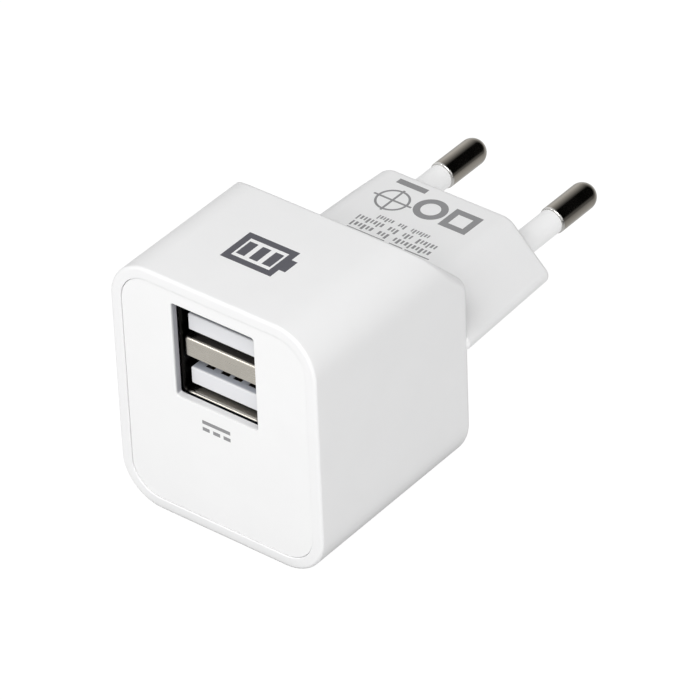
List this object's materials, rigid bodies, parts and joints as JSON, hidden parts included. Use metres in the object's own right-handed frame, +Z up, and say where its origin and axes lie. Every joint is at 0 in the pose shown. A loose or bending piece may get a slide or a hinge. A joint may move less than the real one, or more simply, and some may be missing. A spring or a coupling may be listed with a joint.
{
  "type": "usb wall charger",
  "caption": "Small white mains charger: rounded upright block with stacked USB-A sockets in front and a hexagonal plug block with round pins behind.",
  "frame": {"origin": "middle of the bottom of the whole charger's bounding box, on the surface it stands on", "axes": "+Z up, +Y from the USB face towards the mains pins, +X to the right of someone looking at the USB face"},
  "size_m": [0.0344, 0.069, 0.0385],
  "materials": {
    "housing_plastic": "satin",
    "panel_plastic": "satin",
    "pin_plating": "polished",
    "sleeve_plastic": "satin",
    "copper_sheet": "satin",
    "socket_steel": "satin",
    "socket_plastic": "satin",
    "contact_gold": "polished",
    "board_laminate": "satin",
    "ferrite": "matte",
    "black_moulding": "matte",
    "winding_tape": "gloss",
    "can_sleeve": "gloss",
    "blue_coating": "gloss",
    "resistor_coating": "matte",
    "copper_wire": "gloss"
  },
  "bodies": {
    "root": {"housing": "housing_plastic", "front_panel": "panel_plastic", "pin_live": "pin_plating", "pin_neutral": "pin_plating", "sleeve_live": "sleeve_plastic", "sleeve_neutral": "sleeve_plastic", "spring_live": "copper_sheet", "spring_neutral": "copper_sheet", "usb_shell": "socket_steel", "usb_divider": "socket_steel", "usb_insulator": "black_moulding", "tongue_upper": "socket_plastic", "tongue_lower": "socket_plastic", "usb_contact_upper_1": "contact_gold", "usb_contact_upper_2": "contact_gold", "usb_contact_upper_3": "contact_gold", "usb_contact_upper_4": "contact_gold", "usb_contact_lower_1": "contact_gold", "usb_contact_lower_2": "contact_gold", "usb_contact_lower_3": "contact_gold", "usb_contact_lower_4": "contact_gold", "main_board": "board_laminate", "usb_board": "board_laminate", "transformer_core_top": "ferrite", "transformer_core_bottom": "ferrite", "transformer_bobbin": "black_moulding", "transformer_winding": "winding_tape", "input_capacitor_left": "can_sleeve", "input_capacitor_right": "can_sleeve", "output_capacitor": "can_sleeve", "bridge_rectifier": "black_moulding", "controller_chip": "black_moulding", "output_rectifier": "black_moulding", "port_chip": "black_moulding", "y_capacitor": "blue_coating", "fuse_resistor": "resistor_coating", "choke": "copper_wire"}
  },
  "joints": []
}
